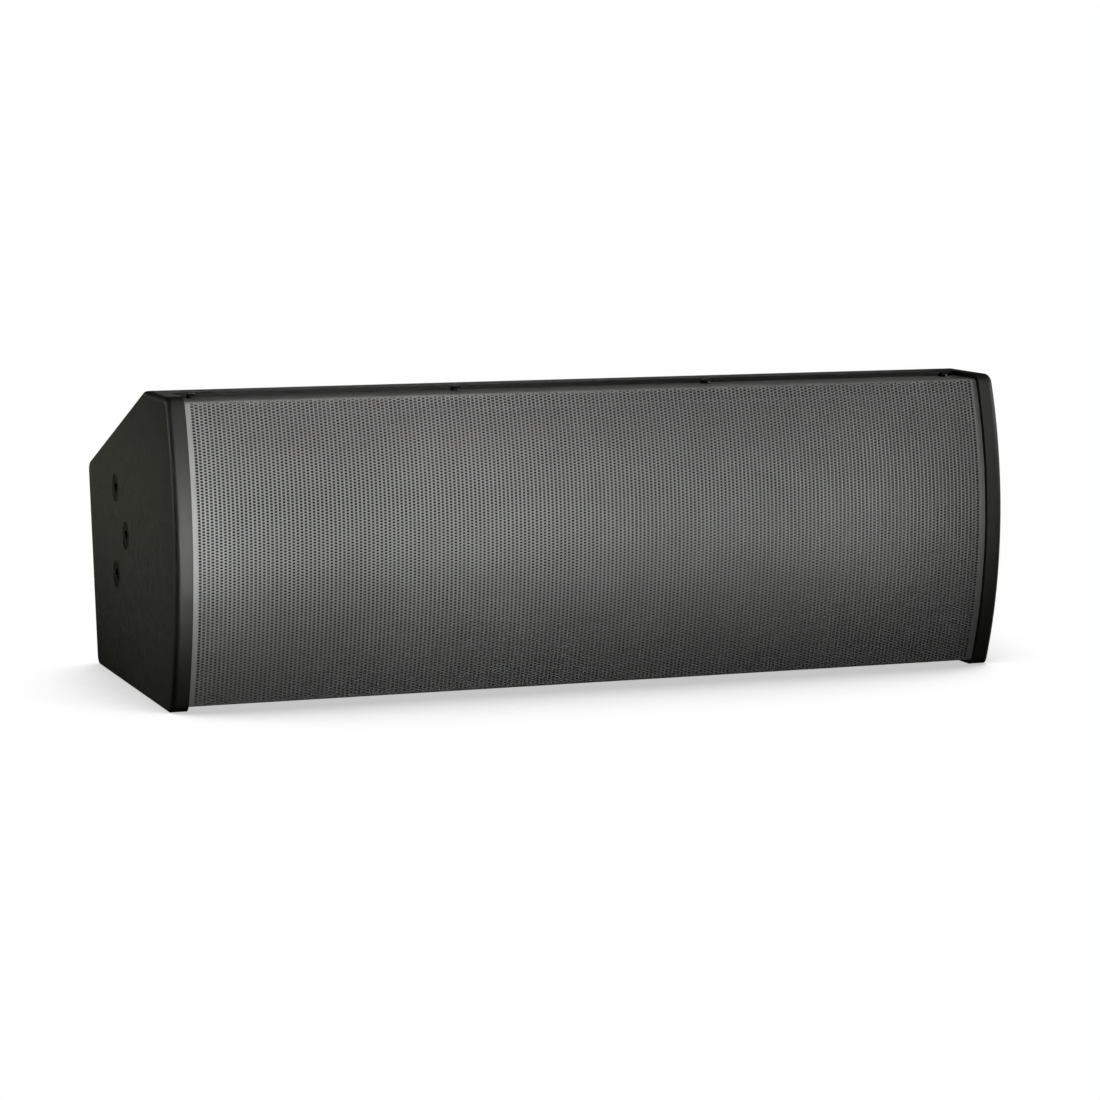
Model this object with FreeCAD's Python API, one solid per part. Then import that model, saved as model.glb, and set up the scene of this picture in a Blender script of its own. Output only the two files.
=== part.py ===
"""Line array speaker module: two woofers and a centre horn behind a bowed, perforated grille.

Frame: -Y is the front, +X is to the right for someone who faces the grille, +Z is up.
Drawing happens in the cabinet frame, where y = 0 is the chord of the bowed front and z = 0 is
the resting plane.  save() then moves each piece so that the origin is the centre of the
module's footprint.  All lengths are in millimetres.
"""
import FreeCAD, Part
import math
import os

from FreeCAD import Vector

# ---- driving dimensions: cabinet ------------------------------------------------------------
WIDTH = 753.0             # over both side panels
HEIGHT = 262.0
PLY = 15.0                # plywood of every cabinet panel
BOW = 24.5                # how far the front edge of a side panel bows out of its chord
TOP_DEPTH = 76.7          # level part of the top, from the front chord back to the slope
REAR_TOP = (304.8, 178.9)   # y, z of the corner between the slope and the rear panel
REAR_FOOT = 279.3         # y of the rear bottom corner; the rear panel leans in to it
EDGE_R = 5.0              # rounding of the side panels' outer edges along the front and top
REAR_EDGE_R = 1.5         # and along the slope, the rear and the bottom
FRONT_CORNER_R = 11.0     # rounding of the profile's four sharp corners and its blunt one
REAR_CORNER_R = 9.0
BLUNT_CORNER_R = 24.0
RABBET_Y = 46.0           # the top and bottom panels are cut away from here forward ...
RABBET = 5.5              # ... by this much, for the grille's flanges
PANEL_FRONT_Y = 8.0       # front edge of the top and bottom panels
DIVIDER_T = 12.0
DIVIDER_X = 136.0         # middle of each divider between horn and woofer chambers

# ---- driving dimensions: grille -------------------------------------------------------------
GRILLE_T = 1.5
GRILLE_INSET = 3.5        # grille surface below the side panels' edges
GRILLE_GAP = 0.5          # to each side panel
FLANGE_INSET = 4.0        # flanges below the top and above the bottom of the module
BEND_R = 5.0              # outer radius of the bends into the flanges
FLANGE_BACK_Y = 44.5
FOAM_T = 8.0
FOAM_GAP = 0.3
FOAM_END = 16.0           # foam stops this far from the top and bottom of the module
FOAM_SIDE_GAP = 6.0       # and this far from each side panel
GRILLE_SCREW_X = (-346.0, -115.3, 115.3, 346.0)
GRILLE_SCREW_Y = 37.0
GRILLE_SCREW_R = 2.5
GRILLE_SCREW_LENGTH = 9.0

# ---- driving dimensions: rigging ------------------------------------------------------------
RIG_CENTRE = (194.9, 130.0)   # y, z of the circle that the three points of a side lie on
RIG_RADIUS = 38.1
RIG_ANGLES = (90.0, 180.0, 270.0)   # from +Y towards +Z
BOSS_R = 12.0
BOSS_CLEARANCE = 0.25
BOSS_RECESS = 0.4
THREAD_R = 4.25           # minor radius of an M10 thread
THREAD_LEAD_IN = 0.8
RIG_PLATE_T = 6.0
RIG_PLATE_Y = (132.0, 222.0)
RIG_PLATE_Z = (66.0, 194.0)
RIG_PLATE_CORNER_R = 8.0
RIG_SCREW_INSET = 11.0
RIG_SCREW_R = 2.5
RIG_SCREW_LENGTH = 16.0
SAFETY_UP = 150.0         # rear safety point, measured up the rear panel

# ---- driving dimensions: drive units --------------------------------------------------------
BAFFLE_Y = 24.0           # front face of the baffle
UNIT_Z = 131.0            # height of all three axes
WOOFER_X = 243.0
WOOFER_R = 104.0
WOOFER_SCREWS = 8
WOOFER_SCREW_PCR = 98.5
WOOFER_OPENING_R = 93.0   # hole in the baffle
UNIT_SCREW_R = 2.5
UNIT_SCREW_DEPTH = 12.5
FRAME_FLANGE = 3.5
COIL_R = 25.4             # inside of the voice-coil former
LEDGE_A = 47.0            # spider ledge, behind the baffle face
PLATE_A = 62.0            # front of the motor's top plate
HORN_OPENING = (250.0, 208.0, 20.0)   # width, height and corner radius of the hole in the baffle
HORN_FLANGE = (264.0, 224.0, 4.0)     # width, height, thickness
HORN_WALL = 3.0
HORN_SECTIONS = (         # distance behind the baffle face, width, height, corner radius
    (-4.0, 238.0, 196.0, 14.0), (22.0, 180.0, 128.0, 16.0), (52.0, 118.0, 78.0, 17.0),
    (82.0, 68.0, 50.0, 17.5), (112.0, 36.0, 36.0, 17.9))
HORN_DEPTH = 112.0
HORN_SCREW_OFFSET = (126.0, 106.0)
DRIVER_R = 65.0
HF_PLATE_T = 9.0
HF_MAGNET_T = 18.0
HF_TOP_T = 7.0
HF_POLE_R = 36.0
HF_PLUG_R = 30.0
HF_PLUG_LENGTH = 14.0
HF_DOME_GAP = 1.2         # between the phase plug and the diaphragm at rest
DOME_RISE = 12.0
DOME_RIM_R = 36.6

# ---- driving dimensions: crossover ----------------------------------------------------------
BOARD = (200.0, 84.0, 1.6)
BOARD_Y = 212.0
STANDOFF = 8.0
BOARD_SCREW = (92.0, 34.0)

# ---- driving dimensions: rear input plate ---------------------------------------------------
INPUT_PLATE = (152.0, 90.0, 2.0)
INPUT_UP = 76.0           # middle of the plate, measured up the rear panel
INPUT_REBATE = 3.0
INPUT_SEAL_T = 0.8
INPUT_SCREW_R = 1.75
SOCKET_SCREW_R = 1.5
SOCKET_X = 34.0
SOCKET_BODY_R = 12.0
SOCKET_CAVITY_R = 10.0

# ---- derived values -------------------------------------------------------------------------
INSIDE_X = WIDTH / 2 - PLY
MID_Z = HEIGHT / 2
FRONT_R = (MID_Z ** 2 + BOW ** 2) / (2 * BOW)
FRONT_CENTRE_Y = FRONT_R - BOW
HF_REAR = HORN_DEPTH + HF_PLATE_T + HF_MAGNET_T + HF_TOP_T
DOME_R = (DOME_RIM_R ** 2 + DOME_RISE ** 2) / (2 * DOME_RISE)
DOME_HALF = math.asin(DOME_RIM_R / DOME_R)
DOME_CENTRE = HF_REAR + 1.5 + DOME_RISE - DOME_R
PLATE_FACE = -INPUT_REBATE + INPUT_SEAL_T + INPUT_PLATE[2]   # outwards from the rear panel's face
EPS = 0.01
REACH = 40.0              # how far cutting prisms reach past the cabinet


# ---- small geometry helpers -----------------------------------------------------------------
def polygon_face(points):
    """Flat face through 3-D points."""
    return Part.Face(Part.makePolygon([Vector(*p) for p in points] + [Vector(*points[0])]))


def prism_x(points, x0, x1):
    """Prism along X over a polygon of (y, z) points."""
    face = polygon_face([(x0, y, z) for y, z in points])
    return face.extrude(Vector(x1 - x0, 0, 0))


def turned(points, x=0.0, z=UNIT_Z, y=BAFFLE_Y):
    """Solid of revolution of (radius, distance behind y) points about an axis along Y."""
    face = polygon_face([(r, a, 0) for r, a in points])
    solid = face.revolve(Vector(0, 0, 0), Vector(0, 1, 0), 360)
    solid.translate(Vector(x, y, z))
    return solid


def ring(r_in, r_out, a0, a1, x=0.0):
    """Plain ring about a drive unit's axis, between two distances behind the baffle face."""
    return turned([(r_in, a0), (r_out, a0), (r_out, a1), (r_in, a1)], x)


def box(x0, x1, y0, y1, z0, z1):
    """Axis-parallel box between two corners."""
    return Part.makeBox(x1 - x0, y1 - y0, z1 - z0, Vector(x0, y0, z0))


def cylinder(radius, base, direction, length):
    """Cylinder from a base point along a direction."""
    return Part.makeCylinder(radius, length, Vector(*base), Vector(*direction))


def rounded_box(width, height, radius, w0, w1):
    """Box in local axes with its four corners rounded, centred on (0, 0), from w0 to w1."""
    wire = rounded_rectangle(width, height, radius, w0)
    return Part.Face(wire).extrude(Vector(0, 0, w1 - w0))


def rounded_rectangle(width, height, radius, w=0.0):
    """Wire of four lines and four arcs in the local plane at height w."""
    edges = []
    half_w, half_h = width / 2, height / 2
    for k in range(4):
        sign_u = (1, -1, -1, 1)[k]
        sign_v = (1, 1, -1, -1)[k]
        centre = Vector(sign_u * (half_w - radius), sign_v * (half_h - radius), w)
        start = math.radians(90 * k)
        arc = [centre + Vector(math.cos(start + math.radians(t)) * radius,
                               math.sin(start + math.radians(t)) * radius, 0)
               for t in (0, 45, 90)]
        edges.append(arc)
    loop = []
    for k in range(4):
        loop.append(Part.Arc(*edges[k]).toShape())
        loop.append(Part.LineSegment(edges[k][2], edges[(k + 1) % 4][0]).toShape())
    return Part.Wire(loop)


def screw(head_r, head_h, shank_r, length, socket_af):
    """Button-head screw along local Z: the head stands above z = 0, the shank hangs below."""
    rim = Vector(head_r, 0, 0)
    crown = Vector(head_r * 0.55, 0, head_h)
    shoulder = Vector(head_r * 0.88, 0, head_h * 0.62)
    profile = Part.Wire([
        Part.LineSegment(Vector(0, 0, 0), rim).toShape(),
        Part.Arc(rim, shoulder, crown).toShape(),
        Part.LineSegment(crown, Vector(0, 0, head_h)).toShape(),
        Part.LineSegment(Vector(0, 0, head_h), Vector(0, 0, 0)).toShape()])
    head = Part.Face(profile).revolve(Vector(0, 0, 0), Vector(0, 0, 1), 360)
    shank = Part.makeCylinder(shank_r, length, Vector(0, 0, -length))
    corner = socket_af / math.sqrt(3)
    hexagon = polygon_face([(corner * math.cos(math.radians(60 * k)),
                             corner * math.sin(math.radians(60 * k)), head_h * 0.35)
                            for k in range(6)])
    socket = hexagon.extrude(Vector(0, 0, head_h))
    return head.fuse(shank).removeSplitter().cut(socket)


def placed(shape, at, z_axis):
    """Copy of a shape with its local Z turned to z_axis and its origin moved to a point."""
    turn = FreeCAD.Rotation(Vector(0, 0, 1), Vector(*z_axis))
    copy = shape.copy()
    copy.Placement = FreeCAD.Placement(Vector(*at), turn).multiply(copy.Placement)
    return copy


def mirrored(shape):
    """The same piece for the other side of the module."""
    return shape.mirror(Vector(0, 0, 0), Vector(1, 0, 0))


def group(solids):
    """Identical small pieces as one node of separate solids."""
    return Part.makeCompound(solids)


# ---- cabinet profile ------------------------------------------------------------------------
def offset_line(a, b, distance):
    """Line through two (y, z) points moved to its right-hand side."""
    dy, dz = b[0] - a[0], b[1] - a[1]
    length = math.hypot(dy, dz)
    oy, oz = dz / length * distance, -dy / length * distance
    return (a[0] + oy, a[1] + oz), (b[0] + oy, b[1] + oz)


def crossing(line_a, line_b):
    """Where two lines of (y, z) points meet."""
    (y1, z1), (y2, z2) = line_a
    (y3, z3), (y4, z4) = line_b
    det = (y1 - y2) * (z3 - z4) - (z1 - z2) * (y3 - y4)
    a = y1 * z2 - z1 * y2
    b = y3 * z4 - z3 * y4
    return ((a * (y3 - y4) - (y1 - y2) * b) / det, (a * (z3 - z4) - (z1 - z2) * b) / det)


BLUNT = (TOP_DEPTH, HEIGHT)
FOOT = (REAR_FOOT, 0.0)
SHELL_LINES = (((0.0, HEIGHT), BLUNT), (BLUNT, REAR_TOP), (REAR_TOP, FOOT), (FOOT, (0.0, 0.0)))


def inner_corners(depth):
    """The three rear corners of the shell, moved inwards by a depth."""
    lines = [offset_line(a, b, depth) for a, b in SHELL_LINES]
    return [crossing(lines[k], lines[k + 1]) for k in range(3)]


def profile_slab(x0, x1):
    """Slab of the whole cabinet profile with its corners rounded."""
    front = Part.Arc(Vector(x0, 0, 0), Vector(x0, -BOW, MID_Z), Vector(x0, 0, HEIGHT))
    corners = [(0.0, HEIGHT), BLUNT, REAR_TOP, FOOT, (0.0, 0.0)]
    lines = [Part.LineSegment(Vector(x0, *a), Vector(x0, *b)) for a, b in zip(corners, corners[1:])]
    wire = Part.Wire([front.toShape()] + [line.toShape() for line in lines])
    slab = Part.Face(wire).extrude(Vector(x1 - x0, 0, 0))
    radii = (FRONT_CORNER_R, BLUNT_CORNER_R, REAR_CORNER_R, REAR_CORNER_R, FRONT_CORNER_R)
    for (y, z), radius in zip(corners, radii):
        edge = [e for e in slab.Edges
                if all(math.hypot(v.Y - y, v.Z - z) < EPS for v in e.Vertexes)]
        slab = slab.makeFillet(radius, edge)
    return slab


def rear_reach():
    """y of the rearmost point: the rounded corner between the slope and the rear panel."""
    slope = math.atan2(HEIGHT - REAR_TOP[1], REAR_TOP[0] - TOP_DEPTH)
    lean = math.atan2(REAR_TOP[0] - REAR_FOOT, REAR_TOP[1])
    slope_normal = (math.sin(slope), math.cos(slope))
    rear_normal = (math.cos(lean), -math.sin(lean))
    dot = slope_normal[0] * rear_normal[0] + slope_normal[1] * rear_normal[1]
    arc_y = REAR_TOP[0] - REAR_CORNER_R * (slope_normal[0] + rear_normal[0]) / (1 + dot)
    return arc_y + REAR_CORNER_R


def front_y(z, inset):
    """y of the bowed front, moved inwards by an inset, at a height."""
    return FRONT_CENTRE_Y - math.sqrt((FRONT_R - inset) ** 2 - (z - MID_Z) ** 2)


# ---- rigging points -------------------------------------------------------------------------
def rig_points():
    """(y, z) of the three rigging points of a side."""
    y, z = RIG_CENTRE
    return [(y + RIG_RADIUS * math.cos(math.radians(a)), z + RIG_RADIUS * math.sin(math.radians(a)))
            for a in RIG_ANGLES]


def rig_screw_points():
    """(y, z) of the four screws that hold a rigging plate to its side panel."""
    return [(y, z) for y in (RIG_PLATE_Y[0] + RIG_SCREW_INSET, RIG_PLATE_Y[1] - RIG_SCREW_INSET)
            for z in (RIG_PLATE_Z[0] + RIG_SCREW_INSET, RIG_PLATE_Z[1] - RIG_SCREW_INSET)]


def rim_radius(vertex):
    """Rounding at a corner of the profile: wide at the front and over the level top."""
    wide = vertex.Y < 0 or (vertex.Z > MID_Z and vertex.Y < TOP_DEPTH)
    return EDGE_R if wide else REAR_EDGE_R


def round_rim(slab):
    """Round the outer rim of the left side panel; the radius changes along the corner arcs."""
    def turn(vertex):
        """Direction of a corner from the profile's middle: forward is 0, then over the top."""
        return math.atan2(vertex.Z - MID_Z, TOP_DEPTH - vertex.Y) % (2 * math.pi)

    document = FreeCAD.newDocument()
    base = document.addObject("Part::Feature", "base")
    base.Shape = slab
    fillet = document.addObject("Part::Fillet", "fillet")
    fillet.Base = base
    rows = []
    for number, edge in enumerate(slab.Edges, 1):
        if all(abs(v.X + WIDTH / 2) < EPS for v in edge.Vertexes):
            first, last = sorted(edge.Vertexes, key=turn)
            rows.append((number, rim_radius(first), rim_radius(last)))
    fillet.Edges = rows
    document.recompute()
    rounded = fillet.Shape.copy()
    FreeCAD.closeDocument(document.Name)
    return rounded.Solids[0]


def side_panel():
    """Left side panel: rounded outer edges and three clearance holes for the rigging bosses."""
    slab = profile_slab(-WIDTH / 2, -INSIDE_X)
    slab = round_rim(slab)
    for y, z in rig_points():
        hole = cylinder(BOSS_R + BOSS_CLEARANCE, (-WIDTH / 2 - 1, y, z), (1, 0, 0), PLY + 2)
        slab = slab.cut(hole)
    pilot_depth = RIG_SCREW_LENGTH - RIG_PLATE_T
    for y, z in rig_screw_points():
        slab = slab.cut(cylinder(RIG_SCREW_R, (-INSIDE_X - pilot_depth, y, z), (1, 0, 0), pilot_depth))
    return slab


def rigging_plate():
    """Left rigging plate: steel inside the cabinet, with three tapped bosses through the panel."""
    y0, y1 = RIG_PLATE_Y
    z0, z1 = RIG_PLATE_Z
    plate = box(-INSIDE_X, -INSIDE_X + RIG_PLATE_T, y0, y1, z0, z1)
    plate = plate.makeFillet(RIG_PLATE_CORNER_R, [e for e in plate.Edges
                                   if abs(e.Vertexes[0].X - e.Vertexes[-1].X) > 1])
    boss_start = -WIDTH / 2 + BOSS_RECESS
    for y, z in rig_points():
        plate = plate.fuse(cylinder(BOSS_R, (boss_start, y, z), (1, 0, 0), PLY - BOSS_RECESS))
    for y, z in rig_points():
        plate = plate.cut(cylinder(THREAD_R, (boss_start - 1, y, z), (1, 0, 0), PLY + RIG_PLATE_T + 2))
        lead_in = Part.makeCone(THREAD_R + THREAD_LEAD_IN, THREAD_R, THREAD_LEAD_IN,
                                Vector(boss_start, y, z), Vector(1, 0, 0))
        plate = plate.cut(lead_in)
    for y, z in rig_screw_points():
        plate = plate.cut(cylinder(RIG_SCREW_R, (-INSIDE_X - 1, y, z), (1, 0, 0), RIG_PLATE_T + 2))
    return plate.removeSplitter()


def rigging_plate_screws():
    """Eight button-head screws, four for each rigging plate."""
    one = screw(5.0, 2.8, RIG_SCREW_R, RIG_SCREW_LENGTH, 3.0)
    left = [placed(one, (-INSIDE_X + RIG_PLATE_T, y, z), (1, 0, 0)) for y, z in rig_screw_points()]
    return group(left + [mirrored(s) for s in left])


# ---- plywood shell --------------------------------------------------------------------------
def shell_panels():
    """Top, slope, rear and bottom panels, mitred where they meet."""
    blank = profile_slab(-INSIDE_X, INSIDE_X)
    inner = inner_corners(PLY)
    outer = inner_corners(-REACH)
    top_front, bottom_front = HEIGHT + REACH, -REACH
    quads = {
        "top_panel": [(PANEL_FRONT_Y, top_front), outer[0], inner[0], (PANEL_FRONT_Y, HEIGHT - PLY)],
        "slope_panel": [outer[0], outer[1], inner[1], inner[0]],
        "rear_panel": [outer[1], outer[2], inner[2], inner[1]],
        "bottom_panel": [outer[2], (PANEL_FRONT_Y, bottom_front), (PANEL_FRONT_Y, PLY), inner[2]],
    }
    panels = {name: blank.common(prism_x(quad, -INSIDE_X, INSIDE_X)) for name, quad in quads.items()}
    x = INSIDE_X + 1
    panels["top_panel"] = panels["top_panel"].cut(box(-x, x, -1, RABBET_Y, HEIGHT - RABBET, HEIGHT + 1))
    panels["bottom_panel"] = panels["bottom_panel"].cut(box(-x, x, -1, RABBET_Y, -1, RABBET))
    return panels


def front_baffle():
    """Baffle board with two woofer cut-outs, the horn cut-out and their screw holes."""
    board = box(-INSIDE_X, INSIDE_X, BAFFLE_Y, BAFFLE_Y + PLY, PLY, HEIGHT - PLY)
    for x in (-WOOFER_X, WOOFER_X):
        board = board.cut(ring(0.0, WOOFER_OPENING_R, -1, PLY + 1, x))
    mouth = rounded_box(*HORN_OPENING, -PLY - 1, 1)
    board = board.cut(placed(mouth, (0, BAFFLE_Y, UNIT_Z), (0, -1, 0)))
    for x, z, _ in woofer_screw_points() + horn_screw_points():
        board = board.cut(cylinder(UNIT_SCREW_R, (x, BAFFLE_Y, z), (0, 1, 0), UNIT_SCREW_DEPTH))
    return board


def divider():
    """Left divider between the horn chamber and the woofer chamber, with a cable hole."""
    inner = inner_corners(PLY)
    back_y = BAFFLE_Y + PLY
    points = [(back_y, HEIGHT - PLY), inner[0], inner[1], inner[2], (back_y, PLY)]
    board = prism_x(points, -DIVIDER_X - DIVIDER_T / 2, -DIVIDER_X + DIVIDER_T / 2)
    hole = cylinder(10.0, (-DIVIDER_X - DIVIDER_T, 230.0, 60.0), (1, 0, 0), 2 * DIVIDER_T)
    return board.cut(hole)


def wadding():
    """Left damping pad: a thick sheet of wadding under the slope and down the rear panel."""
    skin, face = 1.0, 22.0
    outer = inner_corners(PLY + skin)
    inner = inner_corners(PLY + face)
    x1 = -DIVIDER_X - DIVIDER_T / 2 - 2.0
    x0 = -INSIDE_X + RIG_PLATE_T + 4.0
    return prism_x([outer[0], outer[1], outer[2], inner[2], inner[1], inner[0]], x0, x1)


# ---- grille ---------------------------------------------------------------------------------
def grille_section(inset, bend_r, flange_z):
    """One side of the sheet's section: flange, bend, bow, bend, flange, from top to bottom.

    Returns the edges' end and middle points, for the outer or the inner face of the sheet.
    """
    radius = FRONT_R - inset
    bend_z = flange_z - bend_r
    bend_y = FRONT_CENTRE_Y - math.sqrt((radius - bend_r) ** 2 - (bend_z - MID_Z) ** 2)
    tilt = math.atan2(bend_z - MID_Z, FRONT_CENTRE_Y - bend_y)
    mid = (math.pi / 2 + tilt) / 2
    touch = (FRONT_CENTRE_Y - radius * math.cos(tilt), MID_Z + radius * math.sin(tilt))
    half = (bend_y - bend_r * math.cos(mid), bend_z + bend_r * math.sin(mid))
    upper = [(FLANGE_BACK_Y, flange_z), (bend_y, flange_z), half, touch]
    lower = [(y, HEIGHT - z) for y, z in reversed(upper)]
    return upper, (FRONT_CENTRE_Y - radius, MID_Z), lower


def grille():
    """Bowed sheet-steel grille with flanges that lie in the rabbets, drilled for its screws."""
    x0 = -INSIDE_X + GRILLE_GAP

    def at(point):
        return Vector(x0, *point)

    def face_edges(upper, nose, lower):
        return [Part.LineSegment(at(upper[0]), at(upper[1])).toShape(),
                Part.Arc(at(upper[1]), at(upper[2]), at(upper[3])).toShape(),
                Part.Arc(at(upper[3]), at(nose), at(lower[0])).toShape(),
                Part.Arc(at(lower[0]), at(lower[1]), at(lower[2])).toShape(),
                Part.LineSegment(at(lower[2]), at(lower[3])).toShape()]

    top = HEIGHT - FLANGE_INSET
    outside = grille_section(GRILLE_INSET, BEND_R, top)
    inside = grille_section(GRILLE_INSET + GRILLE_T, BEND_R - GRILLE_T, top - GRILLE_T)
    edges = face_edges(*outside) + face_edges(*inside)
    edges.append(Part.LineSegment(at(outside[0][0]), at(inside[0][0])).toShape())
    edges.append(Part.LineSegment(at(outside[2][3]), at(inside[2][3])).toShape())
    wire = Part.Wire(Part.__sortEdges__(edges))
    sheet = Part.Face(wire).extrude(Vector(-2 * x0, 0, 0))
    for x in GRILLE_SCREW_X:
        sheet = sheet.cut(cylinder(GRILLE_SCREW_R, (x, GRILLE_SCREW_Y, -1), (0, 0, 1), HEIGHT + 2))
    return sheet


def grille_foam():
    """Acoustic foam that follows the inside of the grille."""
    near = GRILLE_INSET + GRILLE_T + FOAM_GAP
    far = near + FOAM_T
    x0 = -INSIDE_X + FOAM_SIDE_GAP
    low, high = FOAM_END, HEIGHT - FOAM_END

    def arc(inset):
        points = [Vector(x0, front_y(z, inset), z) for z in (low, MID_Z, high)]
        return points, Part.Arc(*points).toShape()

    near_points, near_arc = arc(near)
    far_points, far_arc = arc(far)
    wire = Part.Wire([near_arc, Part.LineSegment(near_points[2], far_points[2]).toShape(), far_arc,
                      Part.LineSegment(far_points[0], near_points[0]).toShape()])
    return Part.Face(wire).extrude(Vector(-2 * x0, 0, 0))


def grille_screws():
    """Eight button-head screws: four through the top flange and four through the bottom one."""
    one = screw(5.0, 3.8, GRILLE_SCREW_R, GRILLE_SCREW_LENGTH, 3.0)
    top_z = HEIGHT - FLANGE_INSET
    solids = []
    for x in GRILLE_SCREW_X:
        solids.append(placed(one, (x, GRILLE_SCREW_Y, top_z), (0, 0, 1)))
        solids.append(placed(one, (x, GRILLE_SCREW_Y, HEIGHT - top_z), (0, 0, -1)))
    return group(solids)


def drill_for_grille(panels):
    """Pilot holes for the grille screws in the top and bottom panels."""
    depth = GRILLE_SCREW_LENGTH - GRILLE_T
    for x in GRILLE_SCREW_X:
        top = cylinder(GRILLE_SCREW_R, (x, GRILLE_SCREW_Y, HEIGHT - RABBET + 1), (0, 0, -1), depth + 1)
        low = cylinder(GRILLE_SCREW_R, (x, GRILLE_SCREW_Y, RABBET - 1), (0, 0, 1), depth + 1)
        panels["top_panel"] = panels["top_panel"].cut(top)
        panels["bottom_panel"] = panels["bottom_panel"].cut(low)


# ---- woofers --------------------------------------------------------------------------------
def woofer_screw_points():
    """(x, z, y of the seat) of the screws of both woofers."""
    points = []
    for x in (-WOOFER_X, WOOFER_X):
        for k in range(WOOFER_SCREWS):
            a = math.radians(22.5 + 360.0 / WOOFER_SCREWS * k)
            points.append((x + WOOFER_SCREW_PCR * math.cos(a), UNIT_Z + WOOFER_SCREW_PCR * math.sin(a),
                           BAFFLE_Y - FRAME_FLANGE))
    return points


def woofer_frame(x):
    """Cast basket: flange, six open windows, spider ledge and motor seat."""
    section = [(90.0, -FRAME_FLANGE), (WOOFER_R, -FRAME_FLANGE), (WOOFER_R, 0.0), (92.0, 0.0),
               (92.0, 4.0), (66.0, 50.0), (66.0, PLATE_A), (34.0, PLATE_A), (34.0, PLATE_A - 3),
               (63.0, PLATE_A - 3), (63.0, LEDGE_A + 2.5), (56.0, LEDGE_A + 2.5), (56.0, LEDGE_A),
               (64.5, LEDGE_A), (89.0, 3.5), (90.0, 3.5)]
    frame = turned(section, x)
    for k in range(6):
        a = math.radians(60 * k + 30)
        radial = (math.cos(a), 0.0, math.sin(a))
        window = Part.makeBox(40.0, 28.0, 34.0, Vector(-20.0, -14.0, 60.0))
        frame = frame.cut(placed(window, (x, BAFFLE_Y + 25.0, UNIT_Z), radial))
    for sx, sz, _ in woofer_screw_points():
        frame = frame.cut(cylinder(UNIT_SCREW_R, (sx, BAFFLE_Y - FRAME_FLANGE - 1, sz), (0, 1, 0),
                                   FRAME_FLANGE + 2))
    return frame


def woofer_gasket(x):
    """Foam ring on the flange, notched round the screw heads."""
    pad = ring(93.0, WOOFER_R, -FRAME_FLANGE - 2.0, -FRAME_FLANGE, x)
    for sx, sz, _ in woofer_screw_points():
        pad = pad.cut(cylinder(5.2, (sx, BAFFLE_Y - 10, sz), (0, 1, 0), 10))
    return pad


def woofer_surround(x):
    """Half-roll surround between the flange and the edge of the cone."""
    crest, base, skin = 6.5, -FRAME_FLANGE, 0.8
    mid_r = 83.0
    steps = 12

    def arc(radius):
        angles = [math.pi - math.pi * k / steps for k in range(steps + 1)]
        return [(mid_r + radius * math.cos(t), base - radius * math.sin(t)) for t in angles]

    outer = [(p[0], p[1] - skin) for p in arc(crest)]
    outer[0] = (mid_r - crest, base - skin)
    inner = list(reversed(arc(crest - skin)))
    section = ([(74.0, base), (74.0, base - skin)] + outer + [(92.5, base - skin), (92.5, base)]
               + inner)
    return turned(section, x)


def woofer_cone(x):
    """Paper cone, curved from its edge to the voice-coil neck."""
    outer = [(76.0, -FRAME_FLANGE + 0.05), (60.0, 9.0), (45.0, 20.5), (33.0, 30.5), (26.6, 36.0)]
    back = [(26.6, 39.0), (33.0, 32.2), (45.0, 22.2), (60.0, 10.7), (76.0, -FRAME_FLANGE + 1.4)]
    return turned(outer + back, x)


def woofer_dust_cap(x):
    """Domed cap glued to the cone over the voice coil."""
    rim_r, rim_a, rise, skin, steps = 31.0, 31.2, 11.0, 0.8, 8
    radius = (rim_r ** 2 + rise ** 2) / (2 * rise)
    half = math.asin(rim_r / radius)
    centre = rim_a - rise + radius
    front = [(radius * math.sin(half * k / steps), centre - radius * math.cos(half * k / steps))
             for k in range(steps + 1)]
    back = [((radius - skin) * math.sin(half * k / steps),
             centre - (radius - skin) * math.cos(half * k / steps)) for k in range(steps, -1, -1)]
    return turned([(r, a) for r, a in front + back], x)


def woofer_voice_coil(x):
    """Former tube with its winding, in the motor's gap."""
    section = [(COIL_R, 33.0), (COIL_R + 0.3, 33.0), (COIL_R + 0.3, 60.0), (COIL_R + 1.1, 60.0),
               (COIL_R + 1.1, 74.0), (COIL_R, 74.0)]
    return turned(section, x)


def woofer_spider(x):
    """Corrugated centring disc from the voice coil out to its ledge."""
    inner_r, outer_r, waves, height, skin = COIL_R + 0.35, 61.0, 5, 2.2, 0.5
    flat_r = 54.0
    pitch = (flat_r - inner_r) / (2 * waves)
    ridge = [(inner_r + pitch * k, LEDGE_A - skin - (height if k % 2 else 0)) for k in range(2 * waves + 1)]
    front = ridge + [(outer_r, LEDGE_A - skin)]
    back = [(r, a + skin) for r, a in reversed(front)]
    return turned(front + back, x)


def woofer_motor(x):
    """Top plate, ferrite ring and yoke with a vented pole."""
    top_plate = ring(27.3, 60.0, PLATE_A, PLATE_A + 8.0, x)
    magnet = ring(36.0, 72.0, PLATE_A + 8.0, PLATE_A + 28.0, x)
    pole_r, vent_r = 24.6, 7.0
    back = PLATE_A + 36.0
    yoke = turned([(vent_r, PLATE_A), (pole_r, PLATE_A), (pole_r, PLATE_A + 28.0),
                   (66.0, PLATE_A + 28.0), (66.0, back - 3.0), (63.0, back), (vent_r, back)], x)
    return top_plate, magnet, yoke


def woofer_screws():
    """Sixteen button-head screws, eight for each woofer."""
    one = screw(4.6, 2.6, UNIT_SCREW_R, UNIT_SCREW_DEPTH + FRAME_FLANGE - 0.5, 3.0)
    return group([placed(one, (x, y, z), (0, -1, 0)) for x, z, y in woofer_screw_points()])


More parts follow.
